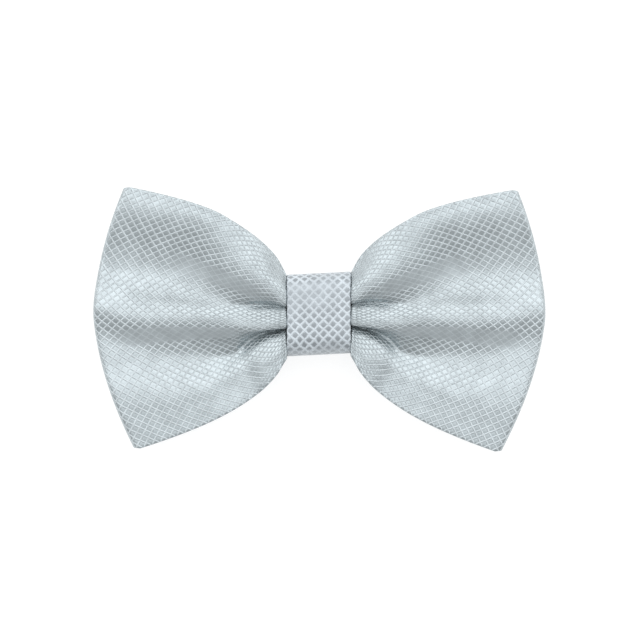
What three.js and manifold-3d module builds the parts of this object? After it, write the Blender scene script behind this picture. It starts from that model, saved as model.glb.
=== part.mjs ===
// Pre-tied bow tie, lying on its back. Millimetres: X runs across the bow, Y up it, and Z out of its front.
// The origin is the middle of the flat lap behind the knot, the face that rests on a table.
// One strip of cloth is folded to a flat loop and gathered at the waist, a band of the same cloth goes round
// the waist, and a bent spring strip between the two holds a shirt collar.
import * as THREE from "three";
import { mergeVertices } from "three/addons/utils/BufferGeometryUtils.js";
import Module from "manifold-3d";

const wasm = await Module();
wasm.setup();

// Driving dimensions of the bow
const CLOTH = 1.0; // thickness of the folded cloth
const CLOTH_LENGTH = 52.6; // along the cloth from the waist to the outer fold
const CLOTH_HEIGHT = 70; // width of the strip, bottom edge to top edge
const MIDDLE = 22; // the tables' middle station, along the cloth from the waist
const WAIST_X = 9.0; // where the gathers leave the solid waist
const FOLD_RADIUS = 1.3; // bend of the outer fold, at the middle of the cloth
const EDGE_LAG = 0.5; // how much the top and bottom edges fall behind near the waist
const LAG_POWER = 1.5; // how fast that lag fades towards the middle of the cloth

// Driving dimensions of the knot
const GAP = 0.3; // clearance between neighbouring pieces
const BAND_HALF_WIDTH = 8.45;
const BAND_HALF_HEIGHT = 10.8;
const BAND_CLOTH = 1.2;
const BAND_BACK_Z = 1.0;
const BAND_FRONT_Z = 14.6;
const BAND_CORNER = 4.2; // rounding of the band, seen from the side
const BAND_SKEW = 0.05; // the band's rows climb a little from left to right
const LAP = { halfHeight: 6.5, halfWidth: 7.6, corner: 1.0, bite: 0.4 };
const WAIST = { halfWidth: 9.25, halfHeight: 9.2, corner: 3 };

// Driving dimensions of the clip
const CLIP_STRIP = 0.8;
const CLIP_HALF_WIDTH = 3.5;
const CLIP_TIP_CORNER = 2.6;
// Half of the strip's middle line, from the bow's middle outwards
const CLIP_LINE = [
  { place: "plate_middle", x: 0, z: 2.9 },
  { place: "plate_end", x: 9.0, z: 2.9 },
  { place: "arm_start", x: 10.6, z: 0.85 },
  { place: "arm_end", x: 18.6, z: 0.85 },
  { place: "tip", x: 20.6, z: 0.4 },
];

// Each wing's outline, seen from the front. The corners are distances from the bow's middle. The rises are
// how much higher than the other tables say the cloth lies at the waist and at the outer fold.
const WINGS = [
  { wing: "left", side: -1, bottomCorner: 49.2, topCorner: 51.8, riseKnot: -0.4, riseEdge: 0 },
  { wing: "right", side: 1, bottomCorner: 48.6, topCorner: 52.9, riseKnot: 0.4, riseEdge: -0.8 },
];
const BULGE = 9.4; // the arc of the outer fold beyond its chord
const BULGE_POWER = 1.7; // 2 is a parabola, and less is straighter towards the corners

// The long edges: height at the waist and at the outer fold, and the share of the slope lost on the way
const TOP_EDGE = { knot: 8.8, edge: 33.2, slopeLost: 0.93 };
const BOTTOM_EDGE = { knot: -8.9, edge: -35.3, slopeLost: 0.78 };

// A value at the waist, at the middle station and at the outer fold
const at = (knot, middle, edge) => ({ knot, middle, edge });

// The fold lines from the bottom edge up. Place is millimetres up the cloth. Lean is the steepest lean, in
// degrees, of the flank between this line and the next: with plus it faces down, with minus it faces up.
const FOLDS = [
  { line: "bottom_edge", place: at(0, 0, 0), lean: at(45, 8, 6) },
  { line: "lower_crest", place: at(9, 6, 9), lean: at(-85, -38, -16) },
  { line: "lower_valley", place: at(22, 18.5, 27.2), lean: at(82, 50, 25) },
  { line: "middle_crest", place: at(33, 31.5, 34.4), lean: at(-80, -44, -12) },
  { line: "upper_valley", place: at(44, 46, 54), lean: at(85, 42, 26) },
  { line: "upper_crest", place: at(52, 61, 64.5), lean: at(-65, -40, -24) },
  { line: "top_edge", place: at(70, 70, 70) },
];

// The two leaves of the loop: mean height of the cloth, and the share of each lean that the leaf takes
const FRONT = { meanZ: at(9.3, 10.4, 5.1), share: at(1, 1, 1) };
const BACK = { meanZ: at(4.35, 4.2, 5.1 - 2 * FOLD_RADIUS), share: at(0.1, 0.35, 1) };

// Faceting
const FLANK_FACETS = 5;
const STEPS_IN_FACET = 4;
const FRONT_STATIONS = [0, 1.6, 3.2, 5, 7.5, 10.5, 14, 18, 22, 26.5, 31, 36, 41, 46, 50, CLOTH_LENGTH];
const BACK_STATIONS = [CLOTH_LENGTH, 48, 42, 35, 28, 21, 14.5, 9, 5, 2, 0];
const FOLD_ANGLES = [60, 20, -20, -60];
const ARC_FACETS = 6;

const DEGREE = Math.PI / 180;

// Such a value at any place along the cloth, on a smooth curve without overshoot
function alongCloth(value, u) {
  const spans = [MIDDLE, CLOTH_LENGTH - MIDDLE];
  const slopes = [(value.middle - value.knot) / spans[0], (value.edge - value.middle) / spans[1]];
  const product = slopes[0] * slopes[1];
  const middleSlope = product > 0 ? (2 * product) / (slopes[0] + slopes[1]) : 0;
  const endSlope = slopes.map((slope) => 1.5 * slope - 0.5 * middleSlope);
  const past = u > MIDDLE;
  const span = past ? spans[1] : spans[0];
  const t = (past ? u - MIDDLE : u) / span;
  const from = past ? value.middle : value.knot;
  const to = past ? value.edge : value.middle;
  const slopeFrom = past ? middleSlope : endSlope[0];
  const slopeTo = past ? endSlope[1] : middleSlope;
  const left = from * (1 + 2 * t) + span * slopeFrom * t;
  const right = to * (3 - 2 * t) - span * slopeTo * (1 - t);
  return left * (1 - t) ** 2 + right * t ** 2;
}

function longEdgeY(edge, u) {
  const s = u / CLOTH_LENGTH;
  const lost = edge.slopeLost / 2;
  return edge.knot + ((edge.edge - edge.knot) * (s - lost * s * s)) / (1 - lost);
}

// Distance of the outer fold's centre from the bow's middle, at height v up the cloth
function outerFoldX(wing, v) {
  const up = v / CLOTH_HEIGHT;
  const chord = wing.bottomCorner + (wing.topCorner - wing.bottomCorner) * up;
  const arc = BULGE * (1 - Math.abs(2 * up - 1) ** BULGE_POWER);
  return chord + arc - FOLD_RADIUS - CLOTH / 2;
}

function clothX(wing, u, v) {
  const s = u / CLOTH_LENGTH;
  const lag = EDGE_LAG * Math.abs((2 * v) / CLOTH_HEIGHT - 1) ** LAG_POWER;
  return WAIST_X + (outerFoldX(wing, v) - WAIST_X) * (s - lag * s * (1 - s));
}

// One cross-section of a leaf at u, as points up the cloth. Each flank leans most in its middle and lies flat
// on its fold lines, and the whole section is drawn together to the height that the long edges leave it.
function leafSection(wing, leaf, u) {
  const share = alongCloth(leaf.share, u);
  const last = FOLDS.length - 2;
  const points = [{ v: 0, y: 0, z: 0 }];
  let [v, y, z, zArea] = [0, 0, 0, 0];
  for (let flank = 0; flank <= last; flank++) {
    const from = alongCloth(FOLDS[flank].place, u);
    const to = alongCloth(FOLDS[flank + 1].place, u);
    const lean = alongCloth(FOLDS[flank].lean, u) * share * DEGREE;
    const steps = FLANK_FACETS * STEPS_IN_FACET;
    const dv = (to - from) / steps;
    for (let step = 0; step < steps; step++) {
      const s = (step + 0.5) / steps;
      const phase = flank === 0 ? (1 + s) / 2 : flank === last ? s / 2 : s;
      const angle = lean * Math.sin(Math.PI * phase);
      zArea += (z + (Math.sin(angle) * dv) / 2) * dv;
      v += dv;
      y += Math.cos(angle) * dv;
      z += Math.sin(angle) * dv;
      if ((step + 1) % STEPS_IN_FACET === 0) points.push({ v, y, z });
    }
  }
  const top = longEdgeY(TOP_EDGE, u);
  const bottom = longEdgeY(BOTTOM_EDGE, u);
  const drawn = (top - bottom) / y;
  const meanZ = alongCloth(leaf.meanZ, u);
  const rise = wing.riseKnot + (wing.riseEdge - wing.riseKnot) * (u / CLOTH_LENGTH);
  return points.map((p) => ({
    v: p.v,
    y: bottom + p.y * drawn + rise,
    z: meanZ + (p.z - zArea / CLOTH_HEIGHT) * Math.min(drawn, 1),
  }));
}

// The wing's cloth as rings of points, from the waist out along the front leaf, round the fold and back
function wingRings(wing) {
  const leafRing = (leaf, u) =>
    leafSection(wing, leaf, u).map((p) => new THREE.Vector3(clothX(wing, u, p.v), p.y, p.z));
  const outermost = leafSection(wing, FRONT, CLOTH_LENGTH);
  const foldRing = (degrees) =>
    outermost.map((p) => {
      const x = outerFoldX(wing, p.v) + FOLD_RADIUS * Math.cos(degrees * DEGREE);
      return new THREE.Vector3(x, p.y, p.z + FOLD_RADIUS * (Math.sin(degrees * DEGREE) - 1));
    });
  const rings = [
    ...FRONT_STATIONS.map((u) => leafRing(FRONT, u)),
    ...FOLD_ANGLES.map(foldRing),
    ...BACK_STATIONS.map((u) => leafRing(BACK, u)),
  ];
  rings.flat().forEach((point) => (point.x *= wing.side));
  return wing.side > 0 ? rings : rings.map((ring) => ring.reverse());
}

// A grid of points thickened to a closed sheet, half the thickness to each side
function sheetSolid(rings, thickness) {
  const columns = rings[0].length;
  const clampedRing = (i) => rings[Math.min(Math.max(i, 0), rings.length - 1)];
  const clampedColumn = (j) => Math.min(Math.max(j, 0), columns - 1);
  const positions = [];
  const normals = rings.map((ring, i) =>
    ring.map((point, j) => {
      const along = clampedRing(i + 1)[j].clone().sub(clampedRing(i - 1)[j]);
      const up = ring[clampedColumn(j + 1)].clone().sub(ring[clampedColumn(j - 1)]);
      return along.cross(up).normalize();
    }),
  );
  for (const side of [0.5, -0.5]) {
    rings.forEach((ring, i) =>
      ring.forEach((point, j) => {
        positions.push(...point.clone().addScaledVector(normals[i][j], side * thickness));
      }),
    );
  }
  const outer = (i, j) => i * columns + j;
  const inner = (i, j) => (rings.length + i) * columns + j;
  const triangles = [];
  const quad = (a, b, c, d) => triangles.push(a, b, c, a, c, d);
  for (let i = 0; i < rings.length - 1; i++) {
    for (let j = 0; j < columns - 1; j++) {
      quad(outer(i, j), outer(i + 1, j), outer(i + 1, j + 1), outer(i, j + 1));
      quad(inner(i, j), inner(i, j + 1), inner(i + 1, j + 1), inner(i + 1, j));
    }
    quad(outer(i + 1, 0), outer(i, 0), inner(i, 0), inner(i + 1, 0));
    quad(outer(i, columns - 1), outer(i + 1, columns - 1), inner(i + 1, columns - 1), inner(i, columns - 1));
  }
  const end = rings.length - 1;
  for (let j = 0; j < columns - 1; j++) {
    quad(outer(0, j), outer(0, j + 1), inner(0, j + 1), inner(0, j));
    quad(outer(end, j + 1), outer(end, j), inner(end, j), inner(end, j + 1));
  }
  return new wasm.Manifold(
    new wasm.Mesh({
      numProp: 3,
      vertProperties: new Float32Array(positions),
      triVerts: new Uint32Array(triangles),
    }),
  );
}

function solidOf(geometry) {
  const bare = geometry.clone();
  bare.deleteAttribute("normal");
  bare.deleteAttribute("uv");
  const merged = mergeVertices(bare, 1e-4);
  return new wasm.Manifold(
    new wasm.Mesh({
      numProp: 3,
      vertProperties: merged.attributes.position.array,
      triVerts: new Uint32Array(merged.index.array),
    }),
  );
}

function geometryOf(solid) {
  const mesh = solid.getMesh();
  const geometry = new THREE.BufferGeometry();
  geometry.setAttribute("position", new THREE.BufferAttribute(mesh.vertProperties, 3));
  geometry.setIndex(new THREE.BufferAttribute(mesh.triVerts, 1));
  geometry.computeVertexNormals();
  return geometry;
}

function roundedRectangle(shape, left, right, low, high, corner) {
  shape.moveTo(left + corner, low);
  shape.lineTo(right - corner, low);
  shape.absarc(right - corner, low + corner, corner, -Math.PI / 2, 0, false);
  shape.lineTo(right, high - corner);
  shape.absarc(right - corner, high - corner, corner, 0, Math.PI / 2, false);
  shape.lineTo(left + corner, high);
  shape.absarc(left + corner, high - corner, corner, Math.PI / 2, Math.PI, false);
  shape.lineTo(left, low + corner);
  shape.absarc(left + corner, low + corner, corner, Math.PI, 1.5 * Math.PI, false);
  return shape;
}

// A shape drawn in Y and Z, extruded across the bow
function acrossTheBow(shape, halfWidth) {
  const geometry = new THREE.ExtrudeGeometry(shape, {
    depth: 2 * halfWidth,
    bevelEnabled: false,
    curveSegments: ARC_FACETS,
  });
  geometry.translate(0, 0, -halfWidth);
  const axes = new THREE.Matrix4().makeBasis(
    new THREE.Vector3(0, 1, 0),
    new THREE.Vector3(0, 0, 1),
    new THREE.Vector3(1, 0, 0),
  );
  return geometry.applyMatrix4(axes);
}

// The knot's rows climb by this share of the way across
function skewMatrix() {
  return new THREE.Matrix4().makeShear(BAND_SKEW, 0, 0, 0, 0, 0);
}

// The gathers inside the knot, pressed solid
function makeWaist() {
  const low = BAND_BACK_Z + BAND_CLOTH + 2 * GAP + CLIP_STRIP;
  const high = BAND_FRONT_Z - BAND_CLOTH - GAP;
  const shape = new THREE.Shape();
  const profile = roundedRectangle(shape, -WAIST.halfHeight, WAIST.halfHeight, low, high, WAIST.corner);
  return solidOf(acrossTheBow(profile, WAIST.halfWidth).applyMatrix4(skewMatrix()));
}

function makeBowLoop() {
  const wings = WINGS.map((wing) => sheetSolid(wingRings(wing), CLOTH));
  return geometryOf(wings.reduce((loop, wing) => loop.add(wing), makeWaist()));
}

// The band, closed round the waist, and its outer end lapped flat over the back
function makeKnotBand() {
  const profile = roundedRectangle(
    new THREE.Shape(),
    -BAND_HALF_HEIGHT,
    BAND_HALF_HEIGHT,
    BAND_BACK_Z,
    BAND_FRONT_Z,
    BAND_CORNER,
  );
  const inside = roundedRectangle(
    new THREE.Path(),
    -BAND_HALF_HEIGHT + BAND_CLOTH,
    BAND_HALF_HEIGHT - BAND_CLOTH,
    BAND_BACK_Z + BAND_CLOTH,
    BAND_FRONT_Z - BAND_CLOTH,
    BAND_CORNER - BAND_CLOTH,
  );
  profile.holes.push(inside);
  const ring = solidOf(acrossTheBow(profile, BAND_HALF_WIDTH));
  const lapShape = roundedRectangle(
    new THREE.Shape(),
    -LAP.halfWidth,
    LAP.halfWidth,
    -LAP.halfHeight,
    LAP.halfHeight,
    LAP.corner,
  );
  const lap = new THREE.ExtrudeGeometry(lapShape, {
    depth: BAND_BACK_Z + LAP.bite,
    bevelEnabled: false,
    curveSegments: ARC_FACETS,
  });
  return geometryOf(ring.add(solidOf(lap))).applyMatrix4(skewMatrix());
}

// The clip's strip: a plate inside the knot, a step down at each side, and an arm behind each wing
function makeCollarClip() {
  const right = CLIP_LINE.map((row) => new THREE.Vector2(row.x, row.z));
  const left = right.slice(1).reverse().map((p) => new THREE.Vector2(-p.x, p.y));
  const line = [...left, ...right];
  const normals = line
    .slice(1)
    .map((p, i) => new THREE.Vector2(line[i].y - p.y, p.x - line[i].x).normalize());
  const mitreAt = (i) => {
    const before = normals[Math.max(i - 1, 0)];
    const after = normals[Math.min(i, normals.length - 1)];
    return before.clone().add(after).divideScalar(1 + before.dot(after));
  };
  const half = CLIP_STRIP / 2;
  const over = line.map((p, i) => p.clone().addScaledVector(mitreAt(i), half));
  const under = line.map((p, i) => p.clone().addScaledVector(mitreAt(i), -half));
  const strip = new THREE.ExtrudeGeometry(new THREE.Shape([...under, ...over.reverse()]), {
    depth: 2 * CLIP_HALF_WIDTH,
    bevelEnabled: false,
  });
  strip.rotateX(Math.PI / 2).translate(0, CLIP_HALF_WIDTH, 0);
  const reach = CLIP_LINE.at(-1).x + CLIP_STRIP;
  const plan = roundedRectangle(
    new THREE.Shape(),
    -reach,
    reach,
    -CLIP_HALF_WIDTH,
    CLIP_HALF_WIDTH,
    CLIP_TIP_CORNER,
  );
  const plate = new THREE.ExtrudeGeometry(plan, {
    depth: BAND_FRONT_Z,
    bevelEnabled: false,
    curveSegments: ARC_FACETS,
  });
  plate.translate(0, 0, -CLIP_STRIP);
  return geometryOf(solidOf(strip).intersect(solidOf(plate)));
}

const satin = new THREE.MeshStandardMaterial({ color: 0xc6cfd4, roughness: 0.45, metalness: 0 });
const bandSatin = new THREE.MeshStandardMaterial({ color: 0xc2cad0, roughness: 0.5, metalness: 0 });
const springSteel = new THREE.MeshStandardMaterial({ color: 0xb8babd, roughness: 0.3, metalness: 1 });

function namedMesh(name, geometry, material) {
  const mesh = new THREE.Mesh(geometry, material);
  mesh.name = name;
  return mesh;
}

const bowTie = new THREE.Group();
bowTie.add(namedMesh("bow_loop", makeBowLoop(), satin));
bowTie.add(namedMesh("knot_band", makeKnotBand(), bandSatin));
bowTie.add(namedMesh("collar_clip", makeCollarClip(), springSteel));

export default bowTie;
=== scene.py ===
# A pre-tied bow tie of patterned satin, lying on its back, seen square from the front. Shapes are worked out
# in millimetres, with X across the bow, Y up it and Z out of its front, and meshes are in metres.
import math
from collections import namedtuple

import bpy
import numpy as np
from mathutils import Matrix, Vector


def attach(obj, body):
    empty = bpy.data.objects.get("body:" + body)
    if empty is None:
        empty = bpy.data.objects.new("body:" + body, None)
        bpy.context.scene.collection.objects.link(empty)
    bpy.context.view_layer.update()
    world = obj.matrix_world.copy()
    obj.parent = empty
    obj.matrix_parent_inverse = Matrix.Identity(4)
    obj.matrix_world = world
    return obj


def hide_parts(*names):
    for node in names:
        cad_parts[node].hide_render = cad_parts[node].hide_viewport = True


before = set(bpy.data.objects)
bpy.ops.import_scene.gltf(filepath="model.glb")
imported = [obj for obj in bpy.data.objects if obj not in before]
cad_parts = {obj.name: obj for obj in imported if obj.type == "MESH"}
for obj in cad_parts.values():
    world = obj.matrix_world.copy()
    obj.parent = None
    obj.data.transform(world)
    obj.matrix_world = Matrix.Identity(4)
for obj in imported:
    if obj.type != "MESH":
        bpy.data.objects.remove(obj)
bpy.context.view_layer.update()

MM = 0.001

# The bow's cloth: its thickness, its length from the waist to the outer fold, its width from edge to edge,
# the waist's distance from the bow's middle, and the outer face's radius in the outer fold
CLOTH = 0.8
CLOTH_LENGTH = 52.6
CLOTH_HEIGHT = 70.0
WAIST_X = 8.2
FOLD_RADIUS = 1.75
# Part way out, the long edges lag behind the cloth's middle: how much, and how near the edges it stays
EDGE_LAG = 0.5
LAG_POWER = 1.5
# The outer fold's arc: how far it stands out past its corners, and how square it is
BULGE = 9.4
BULGE_POWER = 1.7
# Lengths round the loop, from the middle of the knot's front to the end of the outer fold, to the middle of
# the knot's back, and once round
TURN_END = WAIST_X + CLOTH_LENGTH + math.pi * FOLD_RADIUS
HALF_LOOP = TURN_END + (WAIST_X + CLOTH_LENGTH)
WHOLE_LOOP = 2 * HALF_LOOP

# Each wing: its side, the distance of its outer corners from the bow's middle, and how far it is raised at
# the knot and at the outer fold
Wing = namedtuple("Wing", "side bottom_corner top_corner rise_knot rise_edge")
RIGHT_WING = Wing(1, 48.6, 52.9, 0.4, -0.8)
LEFT_WING = Wing(-1, 49.2, 51.8, -0.4, 0.0)

# Places along the cloth, in millimetres from the waist, and a value at each of them
STATIONS = (0.0, 6.0, 12.0, 18.0, 32.0, CLOTH_LENGTH)
At = namedtuple("At", "knot near inner middle outer edge")


def everywhere(value):
    return At(*[value] * len(STATIONS))


# Height of the long edges above the middle of the knot
TOP_EDGE = At(9.3, 14.1, 17.8, 21.0, 27.4, 33.2)
BOTTOM_EDGE = At(-9.6, -14.5, -18.1, -21.2, -27.4, -35.3)

# How a flank rolls over from its crest: share is the part of it that does, a high power keeps it flat
# longer, and base is the share of the lean that it takes at once, in the first BASE_SPAN of its width
Side = namedtuple("Side", "share power base")
BASE_SPAN = 0.2
NO_BASE = everywhere(0)
EDGE_SIDE = Side(
    share=At(0.4, 0.5, 0.79, 1, 1, 1),
    power=At(1, 1, 0.96, 0.9, 0.8, 0.8),
    base=NO_BASE,
)
LOWER_SIDE = Side(
    share=At(0.9, 0.9, 0.79, 0.65, 0.52, 0.58),
    power=At(9, 8, 4.5, 1.5, 0.9, 0.8),
    base=At(0.2, 0.2, 0.13, 0.04, 0, 0),
)
UNDER_SIDE = Side(
    share=At(0.85, 0.8, 0.7, 0.6, 0.45, 0.45),
    power=At(4, 3, 1.9, 1.2, 0.8, 0.8),
    base=NO_BASE,
)
OVER_SIDE = Side(
    share=At(0.95, 0.95, 0.8, 0.6, 0.45, 0.45),
    power=At(10, 8, 4.1, 1.2, 0.8, 0.8),
    base=At(0.18, 0.22, 0.13, 0.03, 0, 0),
)
UPPER_SIDE = Side(
    share=At(0.9, 0.82, 0.7, 0.58, 0.36, 0.4),
    power=At(8, 2.3, 1.4, 1, 0.8, 0.8),
    base=NO_BASE,
)

# Fold lines from the bottom edge up. Place is millimetres up the cloth. Lean is the steepest lean, in
# degrees, of the flank between this line and the next: with plus it faces down, with minus it faces up.
Fold = namedtuple("Fold", "line place lean side")
FOLDS = [
    Fold("bottom_edge", everywhere(0), At(-8, -10, -8, -5, -3, -1), EDGE_SIDE),
    Fold("lower_crest", At(3, 5, 7.5, 9, 8.2, 10), At(-92, -80, -54.2, -32, -18.5, -9), LOWER_SIDE),
    Fold("lower_valley", At(23.6, 25.6, 23.1, 18.2, 20.8, 29.5), At(92, 84, 60, 37, 18, 14), UNDER_SIDE),
    Fold("middle_crest", At(31, 31, 32.3, 33.6, 33.3, 37.4), At(-92, -66, -39.2, -22, -16, -18), OVER_SIDE),
    Fold("upper_valley", At(44.6, 43.4, 41.5, 41, 46.1, 48.5), At(84, 50, 32, 22, 24, 17), UPPER_SIDE),
    Fold("upper_crest", At(56, 55.5, 56.8, 59.4, 68, 67.7), At(-40, -38, -31.6, -26, 4, 5), EDGE_SIDE),
    Fold("top_edge", everywhere(CLOTH_HEIGHT), None, None),
]
# The share of a flank in which it levels out in its valley, and how sharply it does
TUCK = At(0.05, 0.07, 0.19, 0.35, 0.62, 0.6)
SQUARENESS = 0.8
# How much higher the cloth stands above each valley line than below it, the cloth's width in which it
# rises, and the share of that width below the line
STEPS = {
    "lower_valley": At(4.1, 4.1, 1.6, 0.5, 0, 0),
    "upper_valley": At(0.6, 1.1, 0.75, 0, 0, 0),
}
STEP_WIDTH = 3.0
STEP_BELOW = 0.25
# A shelf in the slope above the middle crest: its place, and the share of the lean that is gone there
SHELF_PLACE = At(40, 39, 39.2, 39.5, 40, 42)
SHELF_DEPTH = At(0, 0, 0.29, 0.7, 1.3, 0)
SHELF_WIDTH = 2.6

# The loop's two leaves: mean height of the outer face, the share of each lean that the leaf takes, how
# much it swells beside the tight band, and how all its flanks roll over, if that is the same for them all
Leaf = namedtuple("Leaf", "mean_z share swell side")
EDGE_Z = 6.05  # of the front leaf's outer face, where the outer fold begins
FRONT = Leaf(
    mean_z=At(11.0, 11.45, 11.4, 11.3, 9.8, EDGE_Z),
    share=everywhere(1),
    swell=1.5,
    side=None,
)
BACK = Leaf(
    mean_z=At(6.2, 5.6, 5.1, 4.7, 3.75, EDGE_Z - 2 * FOLD_RADIUS),
    share=At(0.55, 0.65, 0.77, 0.85, 0.9, 1),
    swell=0,
    side=Side(share=everywhere(0.5), power=At(0.6, 0.6, 0.64, 0.7, 0.8, 0.8), base=NO_BASE),
)
SWELL_AT = 0.8  # from the waist

# How finely the loop is made: points across each flank, smaller steps that each is worked out in, rings
# along the leaves, over each side of the knot and round each outer fold, and points round a long edge
FLANK_POINTS = 26
SUBSTEPS = 4
FRONT_STATIONS = 58
BACK_STATIONS = 40
KNOT_STATIONS = 6
FOLD_STATIONS = 9
RIM_POINTS = 5
RING_CROWDING = 1.15  # above 1, the rings stand closer together near the knot

# The weave: the side of a cell on the wings and on the band
WING_CELL = 1.68
BAND_CELL = 1.76
# Cloth that the small gathers of the middle ridge take up, and where up the cloth they begin and end
RIDGE_CLOTH = At(7, 6, 5, 4.3, 3.2, 1.5)
RIDGE_FOOT = 20.0
RIDGE_HEAD = 48.0
# Cells along the cloth, as a share of what its length would hold, and cloth that the rolled edges take up
CELL_SHARE = 0.92
EDGE_CLOTH = 1.8
# How far the rows of cells slant at the long edges, and how far they lag there part way out
Slant = namedtuple("Slant", "at_waist per_length")
TOP_SLANT = Slant(2.0, 0.02)
BOTTOM_SLANT = Slant(-2.0, 0.02)
WEAVE_LAG = 0.25
# Two creases where painted shade evens out the lattice's colour, and its relief is lower: each one's middle
# line and half width up the weave, and the places along the weave, counted from the knot's middle, about
# which it begins and ends
ShadedCrease = namedtuple("ShadedCrease", "up half_width begins ends")
LOWER_CREASE_SHADE = ShadedCrease(29.0, 4.0, 20, 53)
UPPER_CREASE_SHADE = ShadedCrease(54.3, 4.8, 16, 41)
CREASE_BLEND = 4.0  # to either side of those two places
CREASE_CORE = 0.5  # the share of its half width in which a crease is flattest
# How much the painted shade in the creases evens out the lattice's colour, and how much it lowers its relief
CREASE_SHADE_AND_FLATNESS = 0.78


def along_cloth(value, u):
    """A value given at the stations, at any place u along the cloth, on a smooth curve without overshoot."""
    span = np.diff(STATIONS)
    rise = np.diff(value) / span
    slope = np.zeros(len(value))
    for i in range(1, len(value) - 1):
        if rise[i - 1] * rise[i] > 0:
            slope[i] = 2 * rise[i - 1] * rise[i] / (rise[i - 1] + rise[i])
    slope[0] = 1.5 * rise[0] - 0.5 * slope[1]
    slope[-1] = 1.5 * rise[-1] - 0.5 * slope[-2]
    i = min(max(int(np.searchsorted(STATIONS, u)) - 1, 0), len(span) - 1)
    t = (u - STATIONS[i]) / span[i]
    left = value[i] * (1 + 2 * t) + span[i] * slope[i] * t
    right = value[i + 1] * (3 - 2 * t) - span[i] * slope[i + 1] * (1 - t)
    return left * (1 - t) ** 2 + right * t**2


def eased(share):
    """A smooth rise from 0 to 1 while the share does the same."""
    t = np.clip(share, 0, 1)
    return t * t * (3 - 2 * t)


def summed(steps):
    """The sum of the steps up to each point, from 0."""
    return np.concatenate([[0], np.cumsum(steps)])


def unit(vectors):
    return vectors / np.maximum(np.linalg.norm(vectors, axis=-1, keepdims=True), 1e-12)


def outer_fold_x(wing, v):
    """Distance of the outer fold's centre from the bow's middle, at v up the cloth."""
    up = v / CLOTH_HEIGHT
    chord = wing.bottom_corner + (wing.top_corner - wing.bottom_corner) * up
    arc = BULGE * (1 - np.abs(2 * up - 1) ** BULGE_POWER)
    return chord + arc - FOLD_RADIUS


def cloth_x(wing, u, v):
    """Distance from the bow's middle of the point at u along the cloth and v up it."""
    s = u / CLOTH_LENGTH
    lag = EDGE_LAG * np.abs(2 * v / CLOTH_HEIGHT - 1) ** LAG_POWER
    return WAIST_X + (outer_fold_x(wing, v) - WAIST_X) * (s - lag * s * (1 - s))


def woven(u, v):
    """Place in the weave, along and up the cloth, of the point at u, v."""
    off_middle = 2 * v / CLOTH_HEIGHT - 1
    top = TOP_SLANT.at_waist + TOP_SLANT.per_length * u
    bottom = BOTTOM_SLANT.at_waist + BOTTOM_SLANT.per_length * u
    slant = np.where(off_middle > 0, top, bottom) * np.abs(off_middle) ** LAG_POWER
    s = u / CLOTH_LENGTH
    lag = WEAVE_LAG * np.abs(off_middle) ** LAG_POWER
    along = CELL_SHARE * CLOTH_LENGTH * (s - lag * s * (1 - s)) + slant
    gathers = along_cloth(RIDGE_CLOTH, u) * eased((v - RIDGE_FOOT) / (RIDGE_HEAD - RIDGE_FOOT))
    return along, v + gathers + EDGE_CLOTH * np.abs(off_middle) ** 3 * off_middle


def flank_lean(leaf, fold, u, s, v):
    """The lean at u of the flank above a fold line, in radians, at shares s of its width and places v."""
    lean = math.radians(along_cloth(fold.lean, u) * along_cloth(leaf.share, u))
    side = leaf.side or fold.side
    rolling, power, base = (along_cloth(value, u) for value in side)
    from_crest = s if fold.line.endswith("crest") else 1 - s
    rolled = np.sin(np.pi / 2 * np.minimum(from_crest / rolling, 1)) ** power
    angle = lean * (base * np.minimum(from_crest / BASE_SPAN, 1) + (1 - base) * rolled)
    if fold.side is not EDGE_SIDE:
        tuck = along_cloth(TUCK, u)
        angle *= np.sin(np.pi / 2 * np.minimum((1 - from_crest) / tuck, 1)) ** SQUARENESS
    if fold.line == "middle_crest":
        off = (v - along_cloth(SHELF_PLACE, u)) / SHELF_WIDTH
        angle *= 1 - along_cloth(SHELF_DEPTH, u) * np.exp(-(off**2))
    return angle


def leaf_section(wing, leaf, u):
    """One cross-section of a leaf at u: each point's place up the cloth, its height and its depth."""
    steps = FLANK_POINTS * SUBSTEPS
    s = (np.arange(steps) + 0.5) / steps
    widths, leans = [], []
    for fold, above in zip(FOLDS, FOLDS[1:]):
        start = along_cloth(fold.place, u)
        end = along_cloth(above.place, u)
        widths.append(np.full(steps, (end - start) / steps))
        leans.append(flank_lean(leaf, fold, u, s, start + (end - start) * s))
    dv = np.concatenate(widths)
    lean = np.concatenate(leans)
    v, y, z = summed(dv), summed(np.cos(lean) * dv), summed(np.sin(lean) * dv)
    mean = np.sum((z[1:] + z[:-1]) / 2 * dv) / CLOTH_HEIGHT
    top = along_cloth(TOP_EDGE, u)
    bottom = along_cloth(BOTTOM_EDGE, u)
    drawn = (top - bottom) / y[-1]
    rise = wing.rise_knot + (wing.rise_edge - wing.rise_knot) * u / CLOTH_LENGTH
    keep = slice(None, None, SUBSTEPS)
    height = bottom + y[keep] * drawn + rise
    swell = leaf.swell * u / SWELL_AT * math.exp(1 - u / SWELL_AT)
    depth = along_cloth(leaf.mean_z, u) + swell + (z[keep] - mean) * min(drawn, 1)
    for fold in FOLDS:
        if fold.line in STEPS:
            raised = eased((v[keep] - along_cloth(fold.place, u)) / STEP_WIDTH + STEP_BELOW)
            step = along_cloth(leaf.share, u) * along_cloth(STEPS[fold.line], u)
            depth = depth + step * (raised - raised.mean())
    return v[keep], height, depth


# One cross-section of the loop: the places of its points in the weave, along it and up it, and the points
Ring = namedtuple("Ring", "along up points")


def leaf_ring(wing, leaf, u):
    v, y, z = leaf_section(wing, leaf, u)
    along, up = woven(u, v)
    return Ring(along, up, np.stack([wing.side * cloth_x(wing, u, v), y, z], axis=1))


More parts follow.
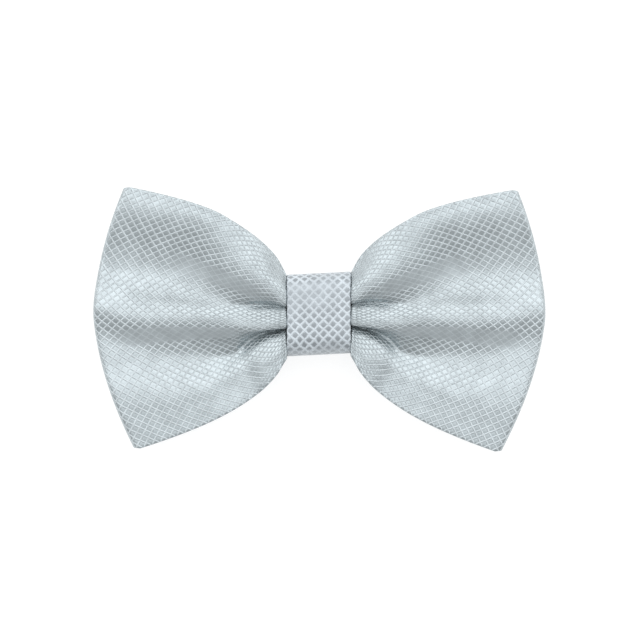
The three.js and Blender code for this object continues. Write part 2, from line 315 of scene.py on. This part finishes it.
def fold_ring(wing, degrees):
    v, y, z = leaf_section(wing, FRONT, CLOTH_LENGTH)
    angle = math.radians(degrees)
    x = outer_fold_x(wing, v) + FOLD_RADIUS * math.cos(angle)
    points = np.stack([wing.side * x, y, z + FOLD_RADIUS * (math.sin(angle) - 1)], axis=1)
    along, up = woven(CLOTH_LENGTH, v)
    return Ring(along, up, points)


def loop_rings():
    """The loop's rings, once round from the right waist. Their places count from the middle of the knot."""
    front_u = CLOTH_LENGTH * np.linspace(0, 1, FRONT_STATIONS) ** RING_CROWDING
    back_u = CLOTH_LENGTH * np.linspace(0, 1, BACK_STATIONS) ** RING_CROWDING
    degrees = np.linspace(90, -90, FOLD_STATIONS + 2)[1:-1]
    fold_arc = np.radians(90 - degrees) * FOLD_RADIUS

    def half(wing):
        rings = [leaf_ring(wing, FRONT, u) for u in front_u]
        rings = [r._replace(along=WAIST_X + r.along) for r in rings]
        turn = [fold_ring(wing, d) for d in degrees]
        rings += [r._replace(along=WAIST_X + r.along + arc) for r, arc in zip(turn, fold_arc)]
        rest = [leaf_ring(wing, BACK, u) for u in back_u[::-1]]
        return rings + [r._replace(along=TURN_END + CLOTH_LENGTH - r.along) for r in rest]

    def across(leaf, first, last, start, end):
        ring0, ring1 = leaf_ring(first, leaf, 0.0), leaf_ring(last, leaf, 0.0)
        rings = []
        for t in np.linspace(0, 1, KNOT_STATIONS + 2)[1:-1]:
            along = start + (end - start) * t + 0 * ring0.along
            rings.append(Ring(along, ring0.up, ring0.points * (1 - t) + ring1.points * t))
        return rings

    left = [r._replace(along=WHOLE_LOOP - r.along) for r in half(LEFT_WING)[::-1]]
    back = across(BACK, RIGHT_WING, LEFT_WING, HALF_LOOP - WAIST_X, HALF_LOOP + WAIST_X)
    front = across(FRONT, LEFT_WING, RIGHT_WING, WHOLE_LOOP - WAIST_X, WHOLE_LOOP + WAIST_X)
    return half(RIGHT_WING) + back + left + front


def mesh_object(name, points, faces, maps):
    """An object from points in millimetres, faces and maps of a pair for each face corner."""
    mesh = bpy.data.meshes.new(name)
    mesh.from_pydata((np.asarray(points) * MM).tolist(), [], [list(map(int, f)) for f in faces])
    for map_name, corners in maps.items():
        layer = mesh.uv_layers.new(name=map_name)
        layer.data.foreach_set("uv", np.asarray(corners, np.float32).ravel())
    mesh.shade_smooth()
    mesh.update()
    piece = bpy.data.objects.new(name, mesh)
    bpy.context.scene.collection.objects.link(piece)
    return piece


# Rows of a sheet from first to last, and the rectangles of the bake map that their outer and inner faces
# fill, each as left, right, bottom and top
BakeRows = namedtuple("BakeRows", "first last outer inner")


def bake_map(profile, places, split, bake_rows):
    """Each face corner's place in the bake map, where each face of the cloth is one flat strip. places are
    along the cloth: one for each row of points and, where the cloth goes round, the first one again."""
    p = profile.shape[1]
    closed = np.concatenate([profile, profile[:, :1]], axis=1)
    walk = summed(np.linalg.norm(np.diff(closed, axis=1), axis=2).mean(axis=0))
    outer_share = walk / walk[split]
    inner_share = (walk - walk[split]) / (walk[-1] - walk[split])
    bake = np.zeros((len(places) - 1, p, 4, 2))
    for rows in bake_rows:
        picked = np.arange(rows.first, rows.last)
        start = places[rows.first]
        length = places[rows.last] - start
        across = (places[picked] - start) / length
        across_next = (places[picked + 1] - start) / length
        for (u0, u1, w0, w1), faces, share in (
            (rows.outer, np.arange(0, split), outer_share),
            (rows.inner, np.arange(split, p), inner_share),
        ):
            block = np.zeros((len(picked), len(faces), 4, 2))
            block[:, :, (0, 3), 0] = (u0 + (u1 - u0) * across).reshape(-1, 1, 1)
            block[:, :, (1, 2), 0] = (u0 + (u1 - u0) * across_next).reshape(-1, 1, 1)
            block[:, :, (0, 1), 1] = (w0 + (w1 - w0) * share[faces]).reshape(1, -1, 1)
            block[:, :, (2, 3), 1] = (w0 + (w1 - w0) * share[faces + 1]).reshape(1, -1, 1)
            bake[np.ix_(picked, faces)] = block
    return bake


def end_caps(n, m, p, split):
    """Faces across the first and last row of an open sheet, between its rounded edges."""
    middle = RIM_POINTS // 2
    outer = middle + 1 + np.arange(m - 1)
    inner = split + middle + m - 1 - np.arange(m - 1)
    caps = np.stack([outer, outer + 1, inner - 1, inner], axis=1)
    return np.concatenate([caps, caps[:, ::-1] + (n - 1) * p])


def sheet_mesh(name, rings, half, cell, round_trip, bake_rows, flip=False):
    """A cloth with rounded long edges. The rings' points are its outer face, and half is half its thickness.
    Where the last row joins the first, round_trip is the length once round, and otherwise it is 0."""
    points = np.stack([ring.points for ring in rings])
    s = np.stack([ring.along for ring in rings])
    v = np.stack([ring.up for ring in rings])
    n, m = points.shape[:2]
    if round_trip:
        along = np.roll(points, -1, axis=0) - np.roll(points, 1, axis=0)
    else:
        along = np.gradient(points, axis=0)
    up = np.gradient(points, axis=1)
    normal = unit(np.cross(along, up)) * (-1 if flip else 1)
    turns = np.radians(np.linspace(0, 180, RIM_POINTS + 2)[1:-1]).reshape(1, -1, 1)
    reach = np.sin(turns[:, :, 0]) * half
    middle = RIM_POINTS // 2

    def rim(j, sign):
        outward = unit(up[:, j : j + 1]) * sign
        turned = (np.cos(turns) - 1) * normal[:, j : j + 1] + np.sin(turns) * outward
        return points[:, j : j + 1] + half * turned

    def profile(bottom, outer, top, inner):
        """Once round from the middle of the bottom edge, over the outer face and back by the inner one."""
        parts = [bottom[:, middle::-1], outer, top, inner[:, ::-1], bottom[:, : middle : -1]]
        return np.concatenate(parts, axis=1)

    surface = profile(rim(0, -1), points, rim(m - 1, 1), points - 2 * half * normal)
    profile_s = profile(s[:, :1] + 0 * reach, s, s[:, -1:] + 0 * reach, s)
    profile_v = profile(v[:, :1] - reach, v, v[:, -1:] + reach, v)

    split = middle + 1 + m + middle  # the profile's point where the inner face begins
    p = surface.shape[1]
    i = np.arange(n if round_trip else n - 1).reshape(-1, 1)
    k = np.arange(p).reshape(1, -1)
    i1, k1 = (i + 1) % n, (k + 1) % p
    faces = np.stack(np.broadcast_arrays(i * p + k, i1 * p + k, i1 * p + k1, i * p + k1), axis=-1)
    lap = np.where(i + 1 < n, 0.0, round_trip)
    corner_s = [profile_s[i, k], profile_s[i1, k] + lap, profile_s[i1, k1] + lap, profile_s[i, k1]]
    corner_v = [profile_v[i, k], profile_v[i1, k], profile_v[i1, k1], profile_v[i, k1]]
    corner_s, corner_v = np.stack(corner_s, axis=-1), np.stack(corner_v, axis=-1)
    # The cells stand on their corners, and in the weave's map each is 1 by 1
    weave = np.stack([corner_s + corner_v, corner_s - corner_v], axis=-1) / (math.sqrt(2) * cell)
    places = s.mean(axis=1)
    if round_trip:
        places = np.append(places, places[0] + round_trip)
    bake = bake_map(surface, places, split, bake_rows)

    faces, weave, bake = faces.reshape(-1, 4), weave.reshape(-1, 4, 2), bake.reshape(-1, 4, 2)
    if not round_trip:
        caps = end_caps(n, m, p, split)
        blank = np.zeros((len(caps), 4, 2))
        faces = np.concatenate([faces, caps])
        weave = np.concatenate([weave, blank])
        bake = np.concatenate([bake, blank])
    if flip:
        faces, weave, bake = faces[:, ::-1], weave[:, ::-1], bake[:, ::-1]
    return mesh_object(name, surface.reshape(-1, 3), faces, {"weave": weave, "OFBake": bake})


def make_bow():
    """The loop of cloth. In the bake map its back has one strip, and the front of each wing another."""
    rings = loop_rings()
    front_end = FRONT_STATIONS + FOLD_STATIONS // 2
    back_end = len(rings) - KNOT_STATIONS - front_end
    bake = [
        BakeRows(0, front_end, (0.505, 0.99, 0.01, 0.43), (0.505, 0.99, 0.75, 0.86)),
        BakeRows(front_end, back_end, (0.01, 0.99, 0.45, 0.73), (0.01, 0.99, 0.88, 0.99)),
        BakeRows(back_end, len(rings), (0.01, 0.495, 0.01, 0.43), (0.01, 0.495, 0.75, 0.86)),
    ]
    bow = sheet_mesh("bow_cloth", rings, CLOTH / 2, WING_CELL, WHOLE_LOOP, bake)
    return bow


# The knot band, wrapped round the waist: its size, where its outer face lies at the back and at the front,
# the radius of its corners seen from the side, and how far it rises for each millimetre across
BAND_HALF_WIDTH = 8.45
BAND_HALF_HEIGHT = 10.8
BAND_CLOTH = 0.8
BAND_BACK_Z = 1.2
BAND_FRONT_Z = 13.65
BAND_CORNER = 4.8
BAND_SKEW = 0.05
# The band's crown: how far its middle stands out, the depth where that begins, and the rise to all of it
BAND_CROWN = 0.9
CROWN_FOOT = 7
CROWN_RISE = 5
# How finely the band is made: columns across it, the step along it, and points round a corner
BAND_COLUMNS = 33
BAND_STEP = 0.4
CORNER_POINTS = 13


def lengths_along(line):
    """The length of a line up to each of its points."""
    return summed(np.linalg.norm(np.diff(line, axis=0), axis=1))


def points_along(line, at):
    """A line's points at these lengths along it."""
    walk = lengths_along(line)
    return np.stack([np.interp(at, walk, values) for values in line.T], axis=1)


def band_path():
    """The band's outer line seen from the side, once round from the middle of the back: the length up to
    each point, the (y, z) points and the whole length."""
    hy, low, high, corner = BAND_HALF_HEIGHT, BAND_BACK_Z, BAND_FRONT_Z, BAND_CORNER
    start = np.array([[0.0, low]])
    pieces = [start]
    for cy, cz, first in (
        (-hy + corner, low + corner, -90),
        (-hy + corner, high - corner, -180),
        (hy - corner, high - corner, 90),
        (hy - corner, low + corner, 0),
    ):
        turn = np.radians(np.linspace(first, first - 90, CORNER_POINTS))
        pieces.append(np.stack([cy + corner * np.cos(turn), cz + corner * np.sin(turn)], axis=1))
    line = np.concatenate(pieces + [start])
    whole = lengths_along(line)[-1]
    count = int(round(whole / BAND_STEP))
    at = np.arange(count) * whole / count
    return at, points_along(line, at), whole


def make_band():
    s, line, whole = band_path()
    across = np.linspace(-1, 1, BAND_COLUMNS)
    x = across * (BAND_HALF_WIDTH - BAND_CLOTH / 2)
    tangent = np.roll(line, -1, axis=0) - np.roll(line, 1, axis=0)
    normal = unit(np.stack([-tangent[:, 1], tangent[:, 0]], axis=1))
    crown = BAND_CROWN * np.clip(line[:, 1] - CROWN_FOOT, 0, CROWN_RISE) / CROWN_RISE
    rings = []
    for i in range(len(s)):
        lift = crown[i] * (1 - across**2) * (1 - (line[i, 0] / BAND_HALF_HEIGHT) ** 2)
        y = line[i, 0] + normal[i, 0] * lift + BAND_SKEW * x
        z = line[i, 1] + normal[i, 1] * lift
        rings.append(Ring(s[i] + 0 * x, x, np.stack([x, y, z], axis=1)))
    bake = [BakeRows(0, len(s), (0.01, 0.99, 0.01, 0.60), (0.01, 0.99, 0.63, 0.99))]
    band = sheet_mesh("band_cloth", rings, BAND_CLOTH / 2, BAND_CELL, whole, bake, flip=True)
    return band


# The band's outer end, lapped over its back and sewn down: its outer face seen from the side, from the
# band's top corner down to the free end
LAP_LINE = [
    (9.5, 2.25), (8.8, 1.6), (7.9, 0.95), (6.8, 0.45), (5.6, 0.2),
    (4.0, 0.12), (0.0, 0.1), (-4.0, 0.1), (-6.1, 0.12),
]
LAP_HALF_WIDTH = 7.6
LAP_CLOTH = 0.85
LAP_STEP = 0.35
LAP_COLUMNS = 27
CURVE_POINTS = 24  # between two points of a line that is made smooth


def smooth_line(line, step):
    """Points at an even step on a smooth curve through the line's points, with the length up to each."""
    line = np.asarray(line, float)
    padded = np.concatenate([[2 * line[0] - line[1]], line, [2 * line[-1] - line[-2]]])
    t = np.linspace(0, 1, CURVE_POINTS + 1)[:-1].reshape(-1, 1)
    pieces = []
    for p0, p1, p2, p3 in zip(padded, padded[1:], padded[2:], padded[3:]):
        a, b, c = 2 * p0 - 5 * p1 + 4 * p2 - p3, 3 * p1 - 3 * p2 + p3 - p0, p2 - p0
        pieces.append(p1 + 0.5 * (c * t + a * t**2 + b * t**3))
    dense = np.concatenate(pieces + [line[-1:]])
    length = lengths_along(dense)[-1]
    at = np.linspace(0, length, max(int(round(length / step)), 2) + 1)
    return at, points_along(dense, at)


def make_lap():
    s, line = smooth_line(LAP_LINE, LAP_STEP)
    x = np.linspace(-1, 1, LAP_COLUMNS) * (LAP_HALF_WIDTH - LAP_CLOTH / 2)
    rings = []
    for place, (y, z) in zip(s, line):
        rings.append(Ring(place + 0 * x, x, np.stack([x, y + BAND_SKEW * x, z + 0 * x], axis=1)))
    bake = [BakeRows(0, len(s) - 1, (0.01, 0.99, 0.01, 0.48), (0.01, 0.99, 0.52, 0.99))]
    lap = sheet_mesh("band_lap", rings, LAP_CLOTH / 2, BAND_CELL, 0, bake, flip=True)
    return lap


def rod_faces(rings, sides):
    """Faces round a row of rings with that many points each, and one over each end."""
    faces = []
    for i in range(rings - 1):
        for k in range(sides):
            j = (k + 1) % sides
            faces.append((i * sides + k, i * sides + j, (i + 1) * sides + j, (i + 1) * sides + k))
    faces.append(tuple(range(sides))[::-1])
    faces.append(tuple((rings - 1) * sides + k for k in range(sides)))
    return faces


# The stitches over the lap's free end: how many, how far out the last ones are, and the thread
STITCHES = 9
STITCH_SPREAD = 6.4
STITCH_RADIUS = 0.14
STITCH_SIDES = 8
STITCH_STEP = 0.2
STITCH_TIP = 0.45  # the thread's thickness at its two tips, as a share
# One stitch: how far across from its place it goes, its height and its depth
STITCH_LINE = [
    (0, -5.3, 0.45), (0.03, -5.5, 0.16), (0.15, -6.1, 0.15), (0.3, -6.55, 0.3),
    (0.4, -6.85, 0.75), (0.47, -7.15, 1.1), (0.5, -7.35, 1.4),
]
BESIDE_STITCH = (0.0, 1.0, 0.3)  # a direction that no stitch runs in


def thread(points):
    """A round thread through the points, closed at both ends: its points and faces."""
    along = unit(np.gradient(points, axis=0))
    side = unit(np.cross(along, BESIDE_STITCH))
    up = np.cross(along, side)
    turn = np.linspace(0, 2 * np.pi, STITCH_SIDES, endpoint=False)
    thick = np.full(len(points), STITCH_RADIUS)
    thick[[0, -1]] = STITCH_TIP * STITCH_RADIUS
    rings = []
    for p, a, b, r in zip(points, side, up, thick):
        rings.append(p + r * (np.outer(np.cos(turn), a) + np.outer(np.sin(turn), b)))
    return np.concatenate(rings), rod_faces(len(points), STITCH_SIDES)


def make_stitches():
    """Slanting stitches over the lap's free end, each from the lap into the band."""
    points, faces = [], []
    start = 0
    for x in np.linspace(-STITCH_SPREAD, STITCH_SPREAD, STITCHES):
        line = [(x + dx, y + BAND_SKEW * x, z) for dx, y, z in STITCH_LINE]
        thread_points, thread_faces = thread(smooth_line(line, STITCH_STEP)[1])
        points.append(thread_points)
        faces += [tuple(start + k for k in face) for face in thread_faces]
        start += len(thread_points)
    return mesh_object("lap_stitches", np.concatenate(points), faces, {})


# The clip: half of its strip's middle line seen from below, with the radius of each bend, the strip's
# thickness and half width, and the radius of its tips' corners and of its edges
CLIP_LINE = [(0, 2.9, 0), (9.0, 2.9, 1.3), (10.6, 0.85, 1.3), (18.6, 0.85, 3.0), (20.9, 0.42, 0)]
CLIP_STRIP = 0.8
CLIP_HALF_WIDTH = 3.5
CLIP_TIP_CORNER = 2.6
CLIP_EDGE = 0.22
# How finely the clip is made: the step along it, and points round a bend, to a tip and round an edge
CLIP_STEP = 0.3
BEND_POINTS = 9
TIP_POINTS = 13
EDGE_POINTS = 5


def bent_line(line):
    """Points along a line whose corners are rounded off by their bend radius."""
    points = [np.array(line[0][:2], float)]
    for before, corner, after in zip(line, line[1:], line[2:]):
        p = np.array(corner[:2], float)
        radius = corner[2]
        back = unit(np.array(before[:2]) - p)
        on = unit(np.array(after[:2]) - p)
        half_turn = (math.pi - math.acos(float(np.clip(back @ on, -1, 1)))) / 2
        reach = radius * math.tan(half_turn)
        middle = p + unit(back + on) * radius / math.cos(half_turn)
        first, last = p + back * reach, p + on * reach
        for t in np.linspace(0, 1, BEND_POINTS):
            points.append(middle + radius * unit((first - middle) * (1 - t) + (last - middle) * t))
    points.append(np.array(line[-1][:2], float))
    return np.array(points)


def rounded_corners(half_width, half_thick):
    """A cross-section of the strip, as points across it and through it, with rounded corners."""
    radius = min(CLIP_EDGE, half_thick)
    y, z = half_width - radius, half_thick - radius
    profile = []
    for cy, cz, first in ((y, z, 90), (y, -z, 0), (-y, -z, -90), (-y, z, -180)):
        for turn in np.radians(np.linspace(first, first - 90, EDGE_POINTS)):
            profile.append((cy + radius * math.cos(turn), cz + radius * math.sin(turn)))
    return profile


def make_clip():
    """A spring strip with rounded edges and tips."""
    right = bent_line(CLIP_LINE)
    line = np.concatenate([right[:0:-1] * (-1, 1), right])
    length = lengths_along(line)[-1]
    tip = CLIP_TIP_CORNER * (1 - np.cos(np.linspace(0, np.pi / 2, TIP_POINTS)))
    even = np.linspace(CLIP_TIP_CORNER, length - CLIP_TIP_CORNER, int(length / CLIP_STEP))
    at = np.concatenate([tip[:-1], even, (length - tip[:-1])[::-1]])
    centre = points_along(line, at)
    along = unit(np.gradient(centre, axis=0))
    normal = np.stack([-along[:, 1], along[:, 0]], axis=1)
    from_tip = np.minimum(at, length - at)
    into = np.clip(CLIP_TIP_CORNER - from_tip, 0, None)
    half_width = CLIP_HALF_WIDTH - CLIP_TIP_CORNER + np.sqrt(CLIP_TIP_CORNER**2 - into**2)
    half_width = np.maximum(half_width, CLIP_HALF_WIDTH - CLIP_TIP_CORNER)
    edge = np.clip(from_tip / CLIP_EDGE, 0, 1)
    half_thick = CLIP_STRIP / 2 - CLIP_EDGE * (1 - np.sqrt(1 - (1 - edge) ** 2))
    rings = []
    for c, n, w, h in zip(centre, normal, half_width, half_thick):
        rings.append([(c[0] + n[0] * z, y, c[1] + n[1] * z) for y, z in rounded_corners(w, h)])
    rings = np.array(rings)
    return mesh_object("clip_strip", rings.reshape(-1, 3), rod_faces(*rings.shape[:2]), {})


# Materials


class Nodes:
    """Short calls for the node tree of a material or of the world."""

    def __init__(self, owner):
        owner.use_nodes = True
        self.tree = owner.node_tree
        self.shader = next(n for n in self.tree.nodes if n.type in ("BSDF_PRINCIPLED", "BACKGROUND"))

    def new(self, kind, **settings):
        node = self.tree.nodes.new(kind)
        for key, value in settings.items():
            setattr(node, key, value)
        return node

    def put(self, socket, value):
        if isinstance(value, bpy.types.NodeSocket):
            self.tree.links.new(value, socket)
        elif value is not None:
            socket.default_value = value

    def shade(self, socket_name, value):
        self.put(self.shader.inputs[socket_name], value)

    def math(self, operation, a, b=None, c=None):
        node = self.new("ShaderNodeMath", operation=operation)
        for socket, value in zip(node.inputs, (a, b, c)):
            self.put(socket, value)
        return node.outputs[0]

    def ramp(self, value, low, high, out_low=0.0, out_high=1.0):
        """A smooth change from out_low, where the value is low, to out_high, where it is high."""
        node = self.new("ShaderNodeMapRange", interpolation_type="SMOOTHSTEP")
        names = ("Value", "From Min", "From Max", "To Min", "To Max")
        for name, v in zip(names, (value, low, high, out_low, out_high)):
            self.put(node.inputs[name], v)
        return node.outputs[0]

    def mix(self, factor, a, b):
        node = self.new("ShaderNodeMix", data_type="RGBA")
        self.put(node.inputs[0], factor)
        self.put(node.inputs[6], (*a, 1))
        self.put(node.inputs[7], (*b, 1))
        return node.outputs[2]

    def axes(self, vector):
        node = self.new("ShaderNodeSeparateXYZ")
        self.put(node.inputs[0], vector)
        return node.outputs[0], node.outputs[1]

    def noise(self, place, scale, detail, dimensions="2D"):
        node = self.new("ShaderNodeTexNoise", noise_dimensions=dimensions)
        self.put(node.inputs["Vector"], place)
        self.put(node.inputs["Scale"], scale)
        self.put(node.inputs["Detail"], detail)
        return node

    def bump(self, height, strength, distance):
        node = self.new("ShaderNodeBump")
        self.put(node.inputs["Strength"], strength)
        self.put(node.inputs["Distance"], distance)
        self.put(node.inputs["Height"], height)
        self.shade("Normal", node.outputs[0])


def new_material(name):
    material = bpy.data.materials.new(name)
    return material, Nodes(material)


# One satin: the colours of its cells and of the lattice between them, how round the lattice's colour makes
# the cells, from where to where it fades out across a cell, how metallic the cells and the lattice gleam,
# the lattice's half width and height as a raised ridge, the scale and the size of the weave's unevenness,
# and how much the lattice fades in places
Weave = namedtuple("Weave", "cell line rounding reach shine ridge uneven fade")
WING_WEAVE = Weave(
    cell=(0.44, 0.485, 0.50),
    line=(0.55, 0.60, 0.62),
    rounding=1.0,
    reach=(0.12, 0.38),
    shine=(0.95, 0.3),
    ridge=(0.17, 0.13),
    uneven=(0.4, 0.12),
    fade=0.25,
)
BAND_WEAVE = Weave(
    cell=(0.305, 0.331, 0.352),
    line=(0.592, 0.644, 0.68),
    rounding=0.3,
    reach=(0.08, 0.42),
    shine=(0.4, 0.0),
    ridge=(0.22, 0.14),
    uneven=(0.9, 0.3),
    fade=0.45,
)
# Both satins: the roughness of cells and lattice, how much of the lattice's colour the cells take where it
# fades in places and where the creases' shade is painted, and the relief of the cells and of single threads,
# as shares of the lattice's
CELL_ROUGHNESS = 0.26
LINE_ROUGHNESS = 0.36
FADE_AND_SHADE_COLOUR = 0.4
CELL_RELIEF = 0.3
THREAD_RELIEF = 0.05


def crease_shade_mask(n, place, cell, creases):
    """A mask of painted shade: 1 in the middle of the creases and 0 away from them."""
    a, b = n.axes(place)
    along = n.math("PINGPONG", n.math("MULTIPLY", n.math("ADD", a, b), cell / math.sqrt(2)), HALF_LOOP)
    up = n.math("MULTIPLY", n.math("SUBTRACT", a, b), cell / math.sqrt(2))
    mask = 0.0
    for crease in creases:
        off = n.math("ABSOLUTE", n.math("SUBTRACT", up, crease.up))
        inside = n.ramp(off, CREASE_CORE * crease.half_width, crease.half_width, 1.0, 0.0)
        begun = n.ramp(along, crease.begins - CREASE_BLEND, crease.begins + CREASE_BLEND)
        not_ended = n.ramp(along, crease.ends - CREASE_BLEND, crease.ends + CREASE_BLEND, 1.0, 0.0)
        mask = n.math("MAXIMUM", mask, n.math("MULTIPLY", inside, n.math("MULTIPLY", begun, not_ended)))
    return mask


def satin(name, weave, cell, creases=()):
    """Woven satin: square cells of floating threads, and between them a raised lattice."""
    material, n = new_material(name)
    place = n.new("ShaderNodeUVMap", uv_map="weave").outputs[0]
    scale, size = weave.uneven
    shift = n.new("ShaderNodeVectorMath", operation="MULTIPLY_ADD")
    n.put(shift.inputs[0], n.noise(place, scale=scale, detail=2.0).outputs["Color"])
    n.put(shift.inputs[1], (size, size, 0.0))
    n.put(shift.inputs[2], place)
    a, b = n.axes(shift.outputs[0])

    # The lattice runs where a or b is a whole number
    nearest = n.math("MINIMUM", n.math("PINGPONG", a, 0.5), n.math("PINGPONG", b, 0.5))
    waves = [n.math("SINE", n.math("MULTIPLY", axis, math.pi)) for axis in (a, b)]
    from_lattice = n.math("ABSOLUTE", n.math("MULTIPLY", *waves))
    rounded = n.math("MULTIPLY", from_lattice, weave.rounding)
    on_line = n.ramp(n.math("MULTIPLY_ADD", nearest, 1 - weave.rounding, rounded), *weave.reach, 1.0, 0.0)

    # In places the lattice fades at random, and in the creases it is evened out as painted shade, with lower
    # relief
    wear = n.noise(place, scale=0.16, detail=1.0)
    clear = n.ramp(wear.outputs["Fac"], low=0.35, high=0.6, out_low=1 - weave.fade)
    if creases:
        flat = n.math("MULTIPLY", crease_shade_mask(n, place, cell, creases), CREASE_SHADE_AND_FLATNESS)
        clear = n.math("MULTIPLY", clear, n.math("SUBTRACT", 1.0, flat))
    fade_and_shade = n.math("MULTIPLY", n.math("SUBTRACT", 1.0, clear), FADE_AND_SHADE_COLOUR)
    on_line = n.math("MULTIPLY_ADD", on_line, clear, fade_and_shade)

    cloudy = n.noise(place, scale=0.5, detail=3.0)
    shade = n.ramp(cloudy.outputs["Fac"], low=0.3, high=0.7, out_low=0.94, out_high=1.06)
    tint = n.new("ShaderNodeVectorMath", operation="SCALE")
    n.put(tint.inputs[0], n.mix(on_line, weave.cell, weave.line))
    n.put(tint.inputs["Scale"], shade)
    n.shade("Base Color", tint.outputs[0])
    n.shade("Metallic", n.ramp(on_line, 0.0, 1.0, *weave.shine))
    n.shade("Roughness", n.ramp(on_line, 0.0, 1.0, CELL_ROUGHNESS, LINE_ROUGHNESS))

    half_width, height = weave.ridge
    ridge = n.ramp(nearest, 0.0, half_width, 1.0, 0.0)
    pillow = n.math("MULTIPLY", from_lattice, CELL_RELIEF)
    relief = n.math("MULTIPLY", n.math("ADD", ridge, pillow), clear)
    threads = n.noise(place, scale=6.0, detail=2.0)
    relief = n.math("MULTIPLY_ADD", threads.outputs["Fac"], THREAD_RELIEF, relief)
    n.bump(relief, strength=1.0, distance=height * MM)
    return material


def spring_steel(name):
    """Rolled steel strip, with fine marks along it."""
    material, n = new_material(name)
    stretch = n.new("ShaderNodeMapping")
    n.put(stretch.inputs["Vector"], n.new("ShaderNodeTexCoord").outputs["Object"])
    n.put(stretch.inputs["Scale"], (300, 9000, 300))
    marks = n.noise(stretch.outputs[0], scale=5.0, detail=4.0, dimensions="3D").outputs["Fac"]
    n.shade("Base Color", n.mix(marks, (0.50, 0.51, 0.52), (0.66, 0.67, 0.68)))
    n.shade("Metallic", 1.0)
    n.shade("Roughness", n.ramp(marks, low=0.3, high=0.7, out_low=0.26, out_high=0.38))
    n.bump(marks, strength=0.25, distance=0.03 * MM)
    return material


def sewing_thread(name):
    """Twisted thread, a little greyer than the cloth."""
    material, n = new_material(name)
    wave = n.new("ShaderNodeTexWave", wave_type="BANDS", bands_direction="DIAGONAL")
    n.put(wave.inputs["Vector"], n.new("ShaderNodeTexCoord").outputs["Object"])
    n.put(wave.inputs["Scale"], 900.0)
    n.put(wave.inputs["Distortion"], 1.0)
    twist = wave.outputs["Fac"]
    n.shade("Base Color", n.mix(twist, (0.36, 0.39, 0.41), (0.52, 0.55, 0.57)))
    n.shade("Roughness", 0.6)
    n.bump(twist, strength=0.4, distance=0.04 * MM)
    return material


def dress(piece, material, slot_name, *nodes):
    """Gives a piece its material and its body, and says which nodes it replaces. Its slot name is not used.
    """
    piece.data.materials.append(material)
    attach(piece, "root")
    if nodes:
        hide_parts(*nodes)


# The camera, in metres: the width of its view at the bow, its distance and the point that it looks at
FRAME_WIDTH = 0.1699
CAMERA_HEIGHT = 0.8
CAMERA_MIDDLE = (0.00032, -0.00159, 0.005)
SENSOR_WIDTH = 36  # millimetres
NEAREST_SEEN = 0.01

# The light tent's colour, and the least by which a direction counts as off the bow's long axis
TENT_COLOUR = (0.97, 0.985, 1.0, 1)
LEAST_OFF_AXIS = 0.001

FLOOR_HALF_WIDTH = 4000.0
FLOOR_Z = -0.2


def add_camera():
    data = bpy.data.cameras.new("camera")
    camera = bpy.data.objects.new("camera", data)
    bpy.context.scene.collection.objects.link(camera)
    data.sensor_width = SENSOR_WIDTH
    data.lens = SENSOR_WIDTH * CAMERA_HEIGHT / FRAME_WIDTH
    data.clip_start = NEAREST_SEEN
    camera.location = Vector(CAMERA_MIDDLE) + Vector((0, 0, CAMERA_HEIGHT))
    bpy.context.scene.camera = camera


def add_world(base, peak, towards, sharpness, widening):
    """A light tent: plain light from all round, with one soft, brighter patch, wider across the bow."""
    world = bpy.data.worlds.new("studio")
    bpy.context.scene.world = world
    n = Nodes(world)
    direction = n.new("ShaderNodeTexCoord").outputs["Generated"]
    dot = n.new("ShaderNodeVectorMath", operation="DOT_PRODUCT")
    n.put(dot.inputs[0], direction)
    n.put(dot.inputs[1], Vector(towards).normalized())
    patch = n.math("POWER", n.math("MAXIMUM", dot.outputs["Value"], 0.0), sharpness)
    x = n.axes(direction)[0]
    off_axis = n.math("MAXIMUM", n.math("SUBTRACT", 1.0, n.math("MULTIPLY", x, x)), LEAST_OFF_AXIS)
    wide_patch = n.math("MULTIPLY", patch, n.math("POWER", off_axis, -widening))
    n.shade("Color", TENT_COLOUR)
    n.shade("Strength", n.math("MULTIPLY_ADD", wide_patch, peak, base))


def add_floor():
    half, z = FLOOR_HALF_WIDTH, FLOOR_Z
    points = [(-half, -half, z), (half, -half, z), (half, half, z), (-half, half, z)]
    floor = mesh_object("floor", points, [(0, 1, 2, 3)], {})
    material, n = new_material("pale_floor")
    n.shade("Base Color", (0.3, 0.3, 0.3, 1))
    n.shade("Emission Color", (1, 1, 1, 1))
    n.shade("Emission Strength", 0.8)
    n.shade("Roughness", 0.9)
    n.shade("Specular IOR Level", 0.1)
    floor.data.materials.append(material)


add_camera()
add_world(base=0.57, peak=1.36, towards=(0.0, 0.545, 0.839), sharpness=3.5, widening=1.75)
add_floor()

# The bow's satin has painted shade in its two creases
bow_satin = satin("bow_satin", WING_WEAVE, WING_CELL, (LOWER_CREASE_SHADE, UPPER_CREASE_SHADE))
band_satin = satin("band_satin", BAND_WEAVE, BAND_CELL)
dress(make_bow(), bow_satin, "satin", "bow_loop")
dress(make_band(), band_satin, "band_satin", "knot_band")
dress(make_lap(), band_satin, "band_satin")
dress(make_stitches(), sewing_thread("thread"), None)
dress(make_clip(), spring_steel("spring_steel"), "clip_steel", "collar_clip")

bpy.context.scene.view_settings.view_transform = "Standard"
